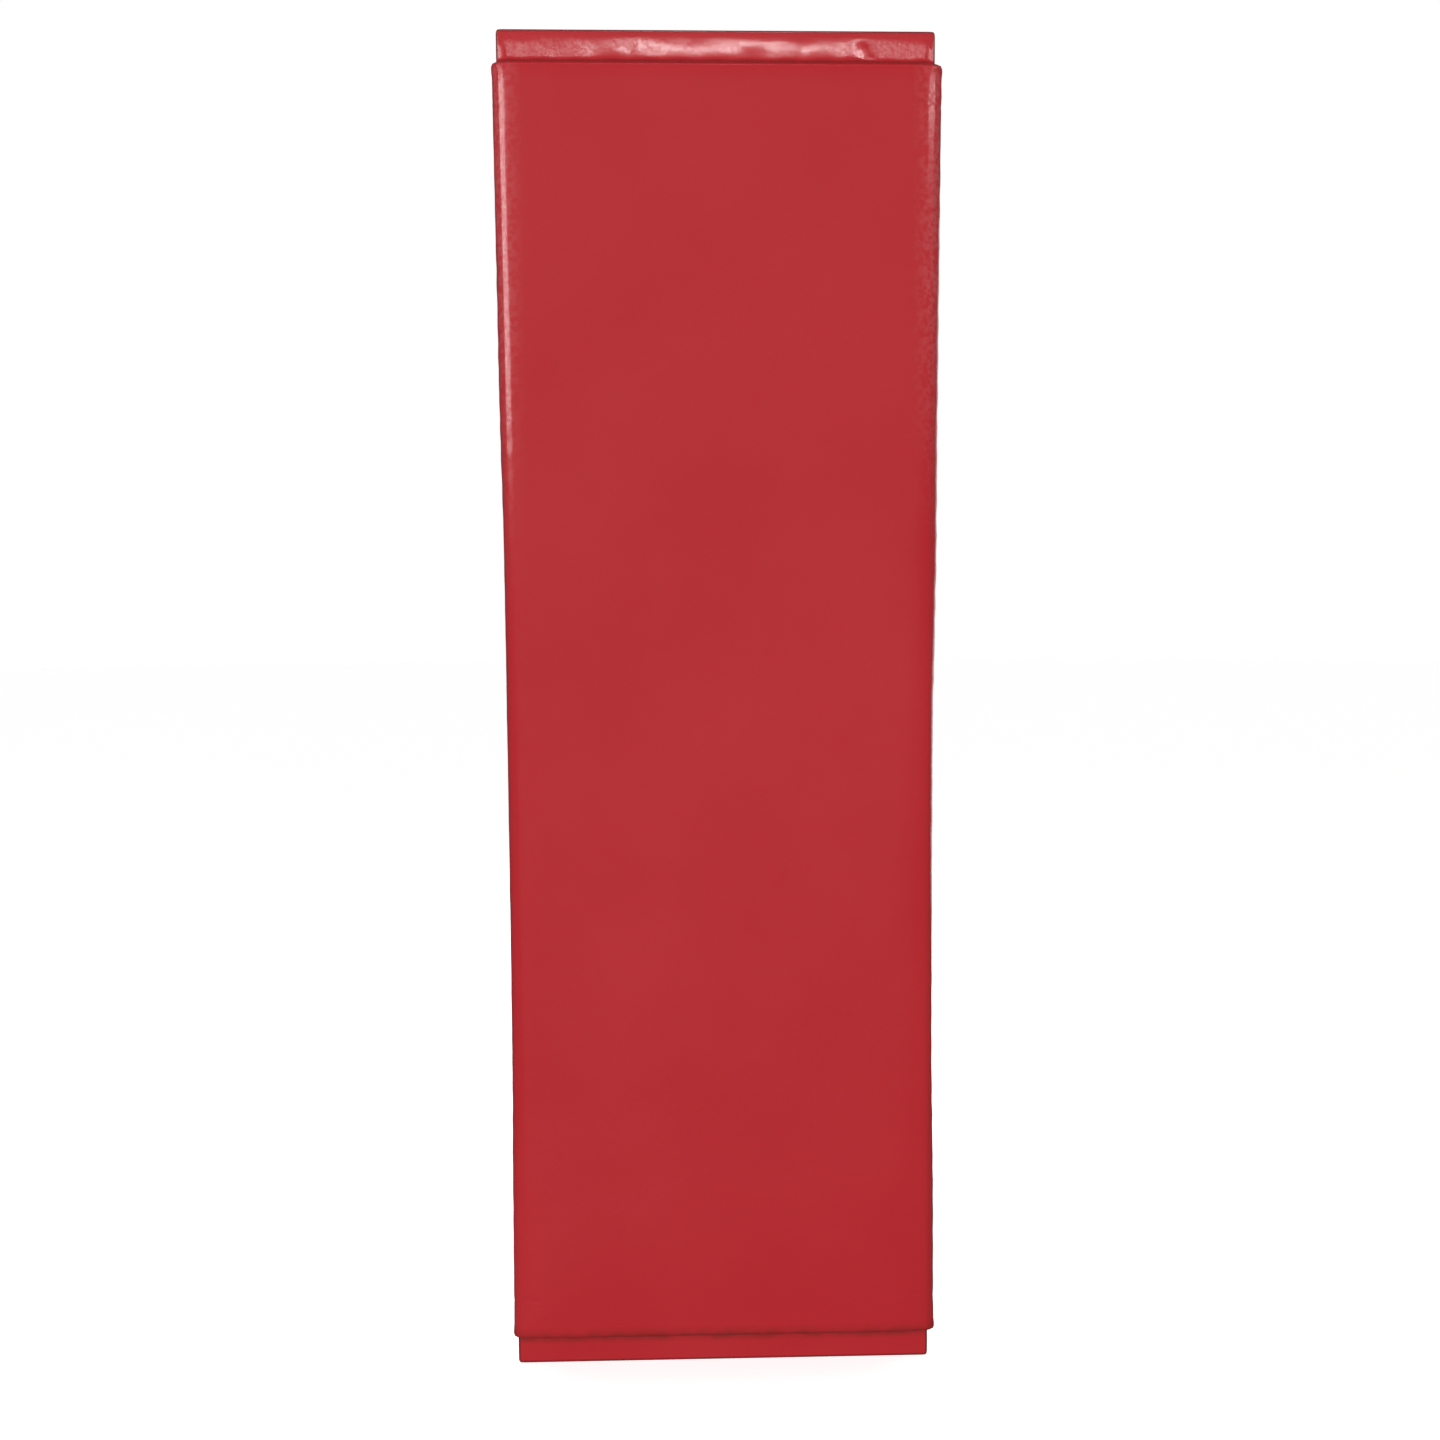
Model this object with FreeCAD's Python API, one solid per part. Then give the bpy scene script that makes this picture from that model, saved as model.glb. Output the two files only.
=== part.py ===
"""A padded wall panel for a gym: foam on a strand board, wrapped in one vinyl sheet.

The board is taller than the foam, so a thin lip is left bare of foam along the top and the
bottom. The panel is screwed to a wall through those lips. The vinyl sheet goes over the
foam, down into the crease beside each lip, over the lip and the board's edges, and is
stapled to the back of the board, where the middle of the board stays uncovered.

Frame, in millimetres: the wall is the plane y = 0, the front faces -Y, Z points up, and
the origin is the middle of the panel's back.
"""
import FreeCAD, Part
import os

Vector = FreeCAD.Vector

# Backer board
BOARD_WIDTH = 609.6
BOARD_HEIGHT = 1917.7
BOARD_THICKNESS = 11.1
BOARD_CORNER = 3.0

# Foam: it covers the board's full width and stops short of its two ends
LIP_HEIGHT = 44.45
FOAM_THICKNESS = 50.8
END_SLANT = 18.0
SIDE_PULL = 5.0
FOAM_EDGE = 13.0

# Vinyl sheet
VINYL = 0.8
VINYL_EASE = 0.2
BACK_FLAP = 46.0

# Staples: flat wire, crown outside, two legs in the board
CROWN_WIDTH = 12.7
WIRE_WIDTH = 1.2
WIRE_THICKNESS = 0.6
LEG_LENGTH = 9.0
STAPLE_PITCH = 50.0
STAPLE_CLEARANCE = 0.05
BACK_ROW_INSET = 27.0
BACK_ROW_END = 22.0
CREASE_ROW_OFFSET = 2.0
CREASE_ROW_END = 38.0

# What follows from the sizes above
BOARD_BACK = -VINYL
BOARD_FRONT = BOARD_BACK - BOARD_THICKNESS
LIP_FRONT = BOARD_FRONT - VINYL
FOAM_HEIGHT = BOARD_HEIGHT - 2 * LIP_HEIGHT

# Two places closer than this count as the same
SAME_PLACE = 0.01


def upright_box(half_width, half_height, front, back):
    """A box centred on the Y axis, from its front plane to its back plane."""
    corner = Vector(-half_width, front, -half_height)
    return Part.makeBox(2 * half_width, back - front, 2 * half_height, corner)


def edges_where(shape, test):
    """The edges whose two ends both pass the test."""
    return [e for e in shape.Edges if all(test(v.Point) for v in e.Vertexes)]


def board_block(grow, corner):
    """The board's block with rounded corners, made larger by grow on every side."""
    block = upright_box(
        BOARD_WIDTH / 2 + grow, BOARD_HEIGHT / 2 + grow, BOARD_FRONT - grow, BOARD_BACK + grow
    )
    along_depth = [e for e in block.Edges if e.BoundBox.YLength > SAME_PLACE]
    return block.makeFillet(corner, along_depth)


def outline(half_width, half_height, pull, depth):
    """A closed outline in the plane y = depth, whose long sides bow inwards by pull."""
    low_left = Vector(-half_width, depth, -half_height)
    low_right = Vector(half_width, depth, -half_height)
    top_right = Vector(half_width, depth, half_height)
    top_left = Vector(-half_width, depth, half_height)
    middle_right = Vector(half_width - pull, depth, 0)
    middle_left = Vector(pull - half_width, depth, 0)
    return Part.Wire([
        Part.makeLine(low_left, low_right),
        side_edge(low_right, middle_right, top_right),
        Part.makeLine(top_right, top_left),
        side_edge(top_left, middle_left, low_left),
    ])


def side_edge(start, middle, end):
    """A long side: an arc through its middle, or a line where the side is straight."""
    straight = abs(middle.x - start.x) < SAME_PLACE
    return Part.makeLine(start, end) if straight else Part.Arc(start, middle, end).toShape()


def pad_form(grow):
    """The foam's form, made larger by grow at its sides, ends and front.

    It is full width on the board. Towards the front its ends slant in, and its sides are
    drawn in by the tight sheet, most at half height. Its free edges are rounded.
    """
    front = BOARD_FRONT - FOAM_THICKNESS - grow
    half_width = BOARD_WIDTH / 2 + grow
    half_height = FOAM_HEIGHT / 2 + grow
    on_board = outline(half_width, half_height, 0, BOARD_FRONT)
    at_front = outline(half_width, half_height - END_SLANT, SIDE_PULL, front)
    form = Part.makeLoft([on_board, at_front], True, True)
    held = edges_where(form, lambda p: abs(p.y - BOARD_FRONT) < SAME_PLACE)
    free = [e for e in form.Edges if not any(e.isSame(h) for h in held)]
    return form.makeFillet(FOAM_EDGE + grow, free)


def staple(crown_face, leg_direction, clearance):
    """One staple along X at the origin: its crown's outer face lies at y = crown_face.

    The legs point along leg_direction, +1 or -1 in Y. A clearance makes the hole for it.
    """
    half_crown = CROWN_WIDTH / 2 + clearance
    leg = WIRE_WIDTH + 2 * clearance
    tall = WIRE_WIDTH / 2 + clearance
    tip = crown_face + leg_direction * (LEG_LENGTH + clearance)
    under = crown_face + leg_direction * WIRE_THICKNESS
    points = [
        Vector(-half_crown, crown_face, -tall),
        Vector(half_crown, crown_face, -tall),
        Vector(half_crown, tip, -tall),
        Vector(half_crown - leg, tip, -tall),
        Vector(half_crown - leg, under, -tall),
        Vector(leg - half_crown, under, -tall),
        Vector(leg - half_crown, tip, -tall),
        Vector(-half_crown, tip, -tall),
    ]
    return Part.Face(Part.makePolygon(points + points[:1])).extrude(Vector(0, 0, 2 * tall))


def row(length):
    """The places of a row of staples about its middle, close to the pitch apart."""
    gaps = max(1, round(length / STAPLE_PITCH))
    return [length * (i / gaps - 0.5) for i in range(gaps + 1)]


def placed(shape, x, z, turned):
    """A copy of a staple at x, z, turned to run along Z where asked."""
    copy = shape.copy()
    if turned:
        copy.rotate(Vector(0, 0, 0), Vector(0, 1, 0), 90)
    copy.translate(Vector(x, 0, z))
    return copy


def back_row_staples(clearance):
    """The staples that hold the sheet's flaps to the back of the board."""
    one = staple(0, -1, clearance)
    across = BOARD_WIDTH / 2 - BACK_ROW_INSET
    up = BOARD_HEIGHT / 2 - BACK_ROW_INSET
    staples = []
    for side in (-1, 1):
        staples += [placed(one, x, side * up, False) for x in row(2 * (across - BACK_ROW_END))]
        staples += [placed(one, side * across, z, True) for z in row(2 * (up - BACK_ROW_END))]
    return staples


def crease_row_staples(clearance):
    """The staples that hold the sheet down in the crease between the foam and each lip."""
    one = staple(LIP_FRONT, 1, clearance)
    up = FOAM_HEIGHT / 2 + VINYL_EASE + VINYL + CREASE_ROW_OFFSET
    along = BOARD_WIDTH - 2 * CREASE_ROW_END
    return [placed(one, x, side * up, False) for side in (-1, 1) for x in row(along)]


def backer_board():
    """The strand board, with the staples' leg holes."""
    holes = back_row_staples(STAPLE_CLEARANCE) + crease_row_staples(STAPLE_CLEARANCE)
    return board_block(0, BOARD_CORNER).cut(holes)


def foam_core():
    """The foam slab, glued to the front of the board."""
    return pad_form(0)


def vinyl_cover():
    """The one sheet that wraps the foam and the board, with its flaps on the back."""
    around_foam = pad_form(VINYL_EASE + VINYL)
    around_board = board_block(VINYL, BOARD_CORNER + VINYL)
    bare_back = upright_box(
        BOARD_WIDTH / 2 - BACK_FLAP, BOARD_HEIGHT / 2 - BACK_FLAP, BOARD_BACK, VINYL
    )
    inside = [pad_form(VINYL_EASE), board_block(0, BOARD_CORNER), bare_back]
    holes = back_row_staples(STAPLE_CLEARANCE) + crease_row_staples(STAPLE_CLEARANCE)
    return around_foam.fuse(around_board).removeSplitter().cut(inside).cut(holes)


def back_staples():
    """The staples in the back flaps."""
    return Part.makeCompound(back_row_staples(0))


def crease_staples():
    """The staples in the two creases."""
    return Part.makeCompound(crease_row_staples(0))


os.makedirs("parts", exist_ok=True)
for make in (backer_board, foam_core, vinyl_cover, back_staples, crease_staples):
    part = make()
    part.exportStep(f"parts/{make.__name__}.step")
    solids = part.Solids
    volume = sum(s.Volume for s in solids) / 1000
    print(f"{make.__name__}: {len(solids)} solids, {volume:.1f} cm3, valid {part.isValid()}, {part.BoundBox}")
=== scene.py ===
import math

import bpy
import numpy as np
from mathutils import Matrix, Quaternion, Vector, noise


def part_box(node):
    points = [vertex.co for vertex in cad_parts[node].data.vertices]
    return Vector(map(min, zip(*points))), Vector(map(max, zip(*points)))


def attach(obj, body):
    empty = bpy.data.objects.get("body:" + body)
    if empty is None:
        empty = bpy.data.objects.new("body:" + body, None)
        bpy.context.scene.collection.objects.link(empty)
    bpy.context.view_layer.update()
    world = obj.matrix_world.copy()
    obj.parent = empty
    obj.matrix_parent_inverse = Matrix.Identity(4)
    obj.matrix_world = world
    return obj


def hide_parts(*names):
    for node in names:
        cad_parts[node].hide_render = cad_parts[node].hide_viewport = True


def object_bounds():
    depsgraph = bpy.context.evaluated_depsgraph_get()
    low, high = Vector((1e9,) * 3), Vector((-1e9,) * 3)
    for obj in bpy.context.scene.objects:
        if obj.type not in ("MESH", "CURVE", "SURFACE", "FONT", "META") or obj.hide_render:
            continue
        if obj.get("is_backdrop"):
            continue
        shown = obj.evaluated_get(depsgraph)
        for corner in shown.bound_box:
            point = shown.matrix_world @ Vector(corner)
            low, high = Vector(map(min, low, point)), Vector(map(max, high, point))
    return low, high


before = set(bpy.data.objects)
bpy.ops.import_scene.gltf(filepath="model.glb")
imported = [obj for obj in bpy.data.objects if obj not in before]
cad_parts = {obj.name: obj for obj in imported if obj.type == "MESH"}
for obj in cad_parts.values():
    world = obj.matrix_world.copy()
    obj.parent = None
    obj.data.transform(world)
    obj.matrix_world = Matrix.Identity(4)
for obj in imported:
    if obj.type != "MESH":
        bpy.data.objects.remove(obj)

# %% [markdown]
# # A padded wall panel
# The panel is a strand board with a foam slab glued to it, wrapped in one sheet of red vinyl.
# The board is taller than the foam, so a thin lip is left at the top and the bottom, and the
# panel is screwed to a wall through those lips. The frame that was loaded holds the board, the
# foam, a plain cover and the staples at their real size. This lesson gives them their looks.

cad_low, cad_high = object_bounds()
print("frame nodes:", sorted(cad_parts))
print("frame box:", [round(v, 4) for v in (*cad_low, *cad_high)])

# %% [markdown]
# ## The panel's own measures
# Every later place comes from the boxes of the frame's nodes, so the looks stay on the design.
# The sheet's outer skin lies on the cover's box. Its lip lies just in front of the board, and
# the crease beside each lip lies just past the end of the foam.

# %% Measures in metres
MM = 0.001
board_low, board_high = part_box("backer_board")
foam_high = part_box("foam_core")[1]
cover_low, cover_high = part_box("vinyl_cover")

SHEET = 0.6 * MM
HALF_WIDTH = cover_high[0] - 0.2 * MM
HALF_HEIGHT = cover_high[2]
BACK = cover_high[1] - 0.12 * MM
LIP_FRONT = board_low[1] - 0.8 * MM
PAD_FRONT = cover_low[1]
PAD_DEPTH = LIP_FRONT - PAD_FRONT
CREASE = foam_high[2] + 1.0 * MM
LIP_HEIGHT = HALF_HEIGHT - CREASE
END_SLANT = 18 * MM
FLAP = 46 * MM
print("lip height", round(LIP_HEIGHT / MM, 2), "mm, pad depth", round(PAD_DEPTH / MM, 2), "mm")

# %% [markdown]
# ## The camera
# The camera stands a little left of the panel's middle and a hand's width above it, about two
# metres and a third away. It looks down by five degrees and right by two, and it leans by a
# third of a degree. A lens shift of one or two hundredths puts the panel right in the frame.

# %% The camera
CAMERA_AT = Vector((-0.055, -2.362, 0.166))
YAW, PITCH, ROLL = (math.radians(a) for a in (1.83, -5.22, -0.285))
LENS = 40.82
LENS_SHIFT = (-0.0099, 0.0227)

aim = Vector((math.sin(YAW) * math.cos(PITCH), math.cos(YAW) * math.cos(PITCH), math.sin(PITCH)))
bpy.ops.object.camera_add(location=CAMERA_AT)
camera = bpy.context.object
camera.rotation_mode = "QUATERNION"
camera.rotation_quaternion = aim.to_track_quat("-Z", "Y") @ Quaternion((0, 0, 1), ROLL)
camera.data.lens = LENS
camera.data.sensor_width = 36
camera.data.shift_x, camera.data.shift_y = LENS_SHIFT
bpy.context.scene.camera = camera
print("camera looks along", [round(v, 3) for v in aim])

# %% [markdown]
# ## A way to write materials
# Shader maths reads best as plain expressions. The small class below wraps a socket, so that
# `1 - mask` or `a * b` adds the Math node that it means. Every other node comes from one
# method, which sets the node's settings first and its sockets after.

# %% The socket class
class Socket:
    def __init__(self, material, socket):
        self.material, self.socket = material, socket

    def math(self, operation, *others):
        values = dict(enumerate((self, *others)))
        return self.material.node("ShaderNodeMath", {"operation": operation}, values)

    def __add__(self, other):
        return self.math("ADD", other)

    def __radd__(self, other):
        return self.math("ADD", other)

    def __sub__(self, other):
        return self.math("SUBTRACT", other)

    def __rsub__(self, other):
        return (self * -1).math("ADD", other)

    def __mul__(self, other):
        return self.math("MULTIPLY", other)

    def __rmul__(self, other):
        return self.math("MULTIPLY", other)

    def __gt__(self, other):
        return self.math("GREATER_THAN", other)


print("shader maths is written with: + - * >")

# %% The material class
class Finish:
    def __init__(self, name):
        self.data = bpy.data.materials.new(name)
        self.data.use_nodes = True
        self.tree = self.data.node_tree
        self.shader = self.tree.nodes["Principled BSDF"]
        self.place = self.node("ShaderNodeTexCoord", {}, {}, "Object")

    def node(self, kind, settings, sockets, output=0):
        node = self.tree.nodes.new(kind)
        for name, value in settings.items():
            if name == "stops":
                while len(node.color_ramp.elements) < len(value):
                    node.color_ramp.elements.new(0.5)
                for element, (position, color) in zip(node.color_ramp.elements, value):
                    element.position, element.color = position, (*color, 1)
            else:
                setattr(node, name, value)
        for name, value in sockets.items():
            value = getattr(value, "socket", value)
            if isinstance(value, bpy.types.NodeSocket):
                self.tree.links.new(value, node.inputs[name])
            else:
                node.inputs[name].default_value = value
        return Socket(self, node.outputs[output])

    def mapped(self, scale, turn=(0, 0, 0), shift=(0, 0, 0), kind="POINT"):
        return self.node("ShaderNodeMapping", {"vector_type": kind}, {
            "Vector": self.place, "Scale": scale, "Rotation": turn, "Location": shift})

    def noise(self, scale, detail=2, place=None):
        return self.node("ShaderNodeTexNoise", {}, {
            "Vector": place or self.place, "Scale": scale, "Detail": detail}, "Fac")

    def ramp(self, value, stops):
        return self.node("ShaderNodeValToRGB", {"stops": stops}, {"Fac": value}, "Color")

    def spread(self, value, low, high, to_low=0.0, to_high=1.0):
        return self.node("ShaderNodeMapRange", {}, {
            "Value": value, "From Min": low, "From Max": high, "To Min": to_low, "To Max": to_high})

    def band(self, value, middle, edges):
        """Fades in between the first two edges and out between the last two."""
        start, full, fading, gone = (middle + edge for edge in edges)
        return self.spread(value, start, full) * (1 - self.spread(value, fading, gone))

    def mix(self, factor, first, second):
        sockets = {0: factor, 6: first, 7: second}
        return self.node("ShaderNodeMix", {"data_type": "RGBA"}, sockets, 2)

    def bump(self, height, distance, strength, normal=None):
        sockets = {"Height": height, "Distance": distance, "Strength": strength}
        if normal:
            sockets["Normal"] = normal
        return self.node("ShaderNodeBump", {}, sockets)

    def set(self, **sockets):
        for name, value in sockets.items():
            value = getattr(value, "socket", value)
            target = self.shader.inputs[name.replace("_", " ")]
            if isinstance(value, bpy.types.NodeSocket):
                self.tree.links.new(value, target)
            else:
                target.default_value = value


print("a material is made with:", *(name for name in vars(Finish) if "__" not in name))

# %% [markdown]
# ## The red vinyl
# Wall-pad vinyl is a woven scrim coated in soft plastic and embossed with a fine grain. It is
# half glossy. It could be one flat red, but the real sheet shows a faint mottling, and its
# highlights break up into small sparks on the grain. So the colour drifts by a few per cent,
# the gloss drifts with it, and two bumps make the grain and the sag of the cloth under it.
# Wear comes last: the two end rims are scuffed dull, because they take the knocks when a panel
# is carried and stacked. The upper side rims are made paler in small patches, a painted sheen.
# The sharp edges of the lips get painted shade and a dull coat, and painted shade lies in the
# creases, unevenly at the foot.

# %% The reds, and the places of the wear, the painted sheen and the painted shade
RED = (0.405, 0.0195, 0.0250, 1)
RED_WORN = (0.420, 0.0230, 0.0285, 1)
# The paler red is a painted sheen for the upper side rims.
RED_SHEEN = (0.500, 0.1300, 0.1350, 1)
# The dark brownish red is painted shade for the creases.
RED_CREASE_SHADE = (0.160, 0.0200, 0.0150, 1)
# The darkest red is painted shade for the sharp edges of the lips.
RED_DARK = (0.085, 0.0080, 0.0095, 1)

# Places in metres: each pair says where one mark begins and where it is full. The lip edges
# get painted shade and a dull coat, the end rims a dull coat, and the side rims a painted sheen.
EDGE_SHADE_AND_SCUFF_END = (HALF_HEIGHT - 4.8 * MM, HALF_HEIGHT - 1.6 * MM)
EDGE_SHADE_AND_SCUFF_SIDE = (HALF_WIDTH - 4.2 * MM, HALF_WIDTH - 1.4 * MM)
EDGE_SHADE_AND_SCUFF_CORNER = (-LIP_FRONT - 4 * MM, -LIP_FRONT - 1.5 * MM)
SCUFFED_END, SCUFFED_FRONT = (0.872, 0.892), (0.040, 0.052)
SHEEN_SIDE = (HALF_WIDTH - 40 * MM, HALF_WIDTH - 14 * MM)
SHEEN_FRONT, SHEEN_ABOVE = (0.045, 0.058), (0.25, 0.60)

# Painted shade beside a crease fades in between the first two of these and out between the last two
CREASE_SHADE_AT_FOOT = (-35 * MM, -18 * MM, 6 * MM, 15 * MM)
CREASE_SHADE_AT_HEAD = (-8 * MM, -2 * MM, -1.5 * MM, 2 * MM)
# How strong the painted shade is at the foot and the head, then on the lip edges, then the painted
# sheen on the side rims
CREASE_SHADE_ON_FOOT, CREASE_SHADE_ON_HEAD, EDGE_SHADE, SHEEN_STRENGTH = 0.62, 0.8, 0.75, 0.34


def wear(vinyl):
    """Masks from 0 to 1: painted shade and a dull coat on the lip edges, scuffed end rims, painted
    sheen on the side rims, and painted shade in the creases.
    """
    x, y, z = (vinyl.node("ShaderNodeSeparateXYZ", {}, {"Vector": vinyl.place}, axis)
               for axis in "XYZ")
    side, forward, ends = x.math("ABSOLUTE"), y * -1, z.math("ABSOLUTE")
    # Painted shade on the sharp edges of the lips; the same mask also dulls the coat there.
    lip_side = vinyl.spread(side, *EDGE_SHADE_AND_SCUFF_SIDE) * (ends > CREASE + 3 * MM)
    lip_edges = vinyl.spread(ends, *EDGE_SHADE_AND_SCUFF_END) + lip_side
    edge_shade_and_scuff = (lip_edges * vinyl.spread(forward, *EDGE_SHADE_AND_SCUFF_CORNER)).math("MINIMUM", 1.0)
    end_rims = vinyl.spread(ends, *SCUFFED_END) * vinyl.spread(forward, *SCUFFED_FRONT)
    scuffed = (end_rims + edge_shade_and_scuff).math("MINIMUM", 1.0)
    # Painted sheen: the upper side rims are made paler in patches.
    patches = vinyl.spread(vinyl.noise(140, detail=4), 0.40, 0.62, 0.1, 1.0)
    rim_sheen = vinyl.spread(side, *SHEEN_SIDE) * patches
    rim_sheen = rim_sheen * vinyl.spread(forward, *SHEEN_FRONT) * vinyl.spread(z, *SHEEN_ABOVE)
    # Painted shade in the creases, uneven at the foot.
    uneven = vinyl.spread(vinyl.noise(38, detail=3), 0.38, 0.6, 0.35, 1.0)
    foot = vinyl.band(z * -1, CREASE, CREASE_SHADE_AT_FOOT) * uneven
    head = vinyl.band(z, CREASE, CREASE_SHADE_AT_HEAD)
    return edge_shade_and_scuff, scuffed, rim_sheen, foot * CREASE_SHADE_ON_FOOT + head * CREASE_SHADE_ON_HEAD


# The width of the painted shade in the bottom crease.
print("dust in the bottom crease is", round((CREASE_SHADE_AT_FOOT[3] - CREASE_SHADE_AT_FOOT[0]) / MM), "mm wide")

# %% Vinyl finish
GRAIN_PER_METRE = 850
GRAIN_DEPTH, GRAIN_STRENGTH = 0.00026, 0.14
SAG_DEPTH, SAG_STRENGTH = 0.0012, 0.1
COAT, COAT_LOST_BY_SCUFFS, COAT_ROUGHNESS = 0.78, 0.8, 0.165


def red_vinyl():
    vinyl = Finish("red_vinyl")
    edge_shade_and_scuff, scuffed, rim_sheen, crease_shade = wear(vinyl)
    drift = vinyl.noise(4.5, detail=3)
    clean = vinyl.mix(vinyl.spread(drift, 0.35, 0.7), RED, RED_WORN)
    # A painted sheen pales the upper side rims.
    paler = vinyl.mix(rim_sheen * SHEEN_STRENGTH, clean, RED_SHEEN)
    # Painted shade in the creases.
    with_crease_shade = vinyl.mix(crease_shade, paler, RED_CREASE_SHADE)
    # Painted shade darkens the sharp edges of the lips.
    vinyl.set(Base_Color=vinyl.mix(edge_shade_and_scuff * EDGE_SHADE, with_crease_shade, RED_DARK))
    grain = vinyl.node("ShaderNodeTexVoronoi", {"feature": "SMOOTH_F1"}, {
        "Vector": vinyl.place, "Scale": GRAIN_PER_METRE, "Smoothness": 0.6}, "Distance")
    fine = vinyl.noise(2600, detail=2)
    weave = vinyl.noise(330, detail=3)
    mottled = vinyl.spread(vinyl.noise(30, detail=2), 0.3, 0.75, 0.36, 0.44)
    vinyl.set(Roughness=mottled + grain * 0.03)
    sag = vinyl.bump(vinyl.noise(26, detail=3), SAG_DEPTH, SAG_STRENGTH)
    relief = grain + fine * 0.3 + weave * 1.2
    vinyl.set(Normal=vinyl.bump(relief, GRAIN_DEPTH, GRAIN_STRENGTH, sag))
    sparks = vinyl.spread(vinyl.noise(230, detail=3), 0.37, 0.63, 0.58, 1.36)
    vinyl.set(Coat_Weight=COAT * (1 - scuffed * COAT_LOST_BY_SCUFFS) * sparks)
    vinyl.set(IOR=1.45, Specular_IOR_Level=0.03, Coat_Roughness=COAT_ROUGHNESS, Coat_IOR=1.45)
    return vinyl.data


vinyl_finish = red_vinyl()
print("vinyl finish:", len(vinyl_finish.node_tree.nodes), "nodes")

# %% [markdown]
# ## The cover, first as a sharp block
# The cover is the piece that is seen, so it gets the most work. It could be cut and sewn as a
# flat cloth in a simulation, but this sheet is stretched tight over foam that already has its
# shape. So it starts as a block the size of the wrapped board. Two cuts mark the creases, and
# the middle of the front is drawn forward by the depth of the foam.

# %% Helpers for working in edit mode
def edit(piece):
    bpy.ops.object.select_all(action="DESELECT")
    bpy.context.view_layer.objects.active = piece
    piece.select_set(True)
    bpy.ops.object.mode_set(mode="EDIT")
    bpy.ops.mesh.select_all(action="DESELECT")


def leave():
    bpy.ops.object.mode_set(mode="OBJECT")


def choose(piece, kind, test):
    """Selects the faces or edges of one kind that pass a test of their middle and direction."""
    bpy.ops.mesh.select_mode(type=kind)
    bpy.ops.mesh.select_all(action="DESELECT")
    leave()
    points = piece.data.vertices
    items = piece.data.polygons if kind == "FACE" else piece.data.edges
    for item in items:
        corners = [points[i].co for i in item.vertices]
        middle = sum(corners, Vector()) / len(corners)
        along = item.normal if kind == "FACE" else (corners[1] - corners[0])
        item.select = test(middle, along)
    bpy.ops.object.mode_set(mode="EDIT")


def cut(axis, place):
    """Cuts the whole piece by the plane that crosses an axis at one place."""
    at, across = [0, 0, 0], [0, 0, 0]
    at[axis], across[axis] = place, 1
    bpy.ops.mesh.select_mode(type="FACE")
    bpy.ops.mesh.select_all(action="SELECT")
    bpy.ops.mesh.bisect(plane_co=at, plane_no=across)


print("the panel's axes for a cut: 0 is its width, 1 its depth, 2 its height")

# %% The block and its padded front
bpy.ops.object.select_all(action="DESELECT")
bpy.ops.mesh.primitive_cube_add(size=1, location=(0, (LIP_FRONT + BACK) / 2, 0))
cover = bpy.context.object
cover.name = "vinyl_wrap"
cover.scale = (2 * HALF_WIDTH, BACK - LIP_FRONT, 2 * HALF_HEIGHT)
bpy.ops.object.transform_apply(location=True, rotation=False, scale=True)

edit(cover)
cut(2, CREASE)
cut(2, -CREASE)
choose(cover, "FACE", lambda middle, out: out.y < -0.9 and abs(middle.z) < CREASE)
bpy.ops.mesh.extrude_region_move(TRANSFORM_OT_translate={"value": (0, -PAD_DEPTH, 0)})
leave()
print("block:", len(cover.data.polygons), "faces")

# %% [markdown]
# ## A grid that is fine where the sheet bends
# The sheet bends at the rims and in the creases and is nearly flat elsewhere. Cutting the
# block into bands first, and dividing each band by its own number, puts the small faces where
# the bends are. The back's middle is deleted, because the board shows there.

# %% Bands and divisions
RIM_BAND = FLAP
END_BAND = 62 * MM


def divide(axis, low, high, parts):
    """Divides the edges that run along one axis inside a band into equal parts."""
    choose(cover, "EDGE", lambda middle, along: (
        low < middle[axis] < high and abs(along[axis]) > 0.99 * along.length))
    bpy.ops.mesh.subdivide(number_cuts=parts - 1)


edit(cover)
for side in (-1, 1):
    cut(0, side * (HALF_WIDTH - RIM_BAND))
    cut(2, side * (CREASE - END_BAND))
inner = HALF_WIDTH - RIM_BAND
choose(cover, "FACE", lambda middle, out: (
    out.y > 0.9 and abs(middle.x) < inner and abs(middle.z) < CREASE))
bpy.ops.mesh.delete(type="FACE")
divide(0, -inner, inner, 56)
divide(0, inner, HALF_WIDTH, 9)
divide(0, -HALF_WIDTH, -inner, 9)
divide(2, END_BAND - CREASE, CREASE - END_BAND, 132)
for low, high, parts in ((CREASE - END_BAND, CREASE, 16), (CREASE, HALF_HEIGHT, 11)):
    divide(2, low, high, parts)
    divide(2, -high, -low, parts)
divide(1, LIP_FRONT, BACK, 3)
divide(1, PAD_FRONT, LIP_FRONT, 11)
leave()
print("grid:", len(cover.data.vertices), "points,", len(cover.data.polygons), "faces")

# %% [markdown]
# ## From block to pad
# Now every point of the sharp block moves to its place on the soft form. The moves are the
# ones that the real sheet makes: it rounds over the foam's rim, leans back with the foam's
# slanted ends, is drawn in along its sides, crowns a little on the face, and lifts off the
# board beside each crease, where it bridges from the lip up to the foam.

# %% Soft steps, humps and slow noise
def smooth(value, low, high):
    """0 below low, 1 above high, and a soft step between."""
    t = np.clip((value - low) / (high - low), 0, 1)
    return t * t * (3 - 2 * t)


def hump(distance, width):
    """1 at no distance, and 0 a few widths away."""
    return np.exp(-(distance / width) ** 2)


def wander(x, y, z, scale, seed):
    """Slow noise from about -1 to 1 over a set of points."""
    lift = Vector((seed, seed * 1.7, seed * 2.3))
    return np.array([noise.noise(Vector(p) * scale + lift) for p in zip(x, y, z)]) * 1.6


print("a soft step a quarter of the way up:", smooth(0.25, 0, 1))

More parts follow.
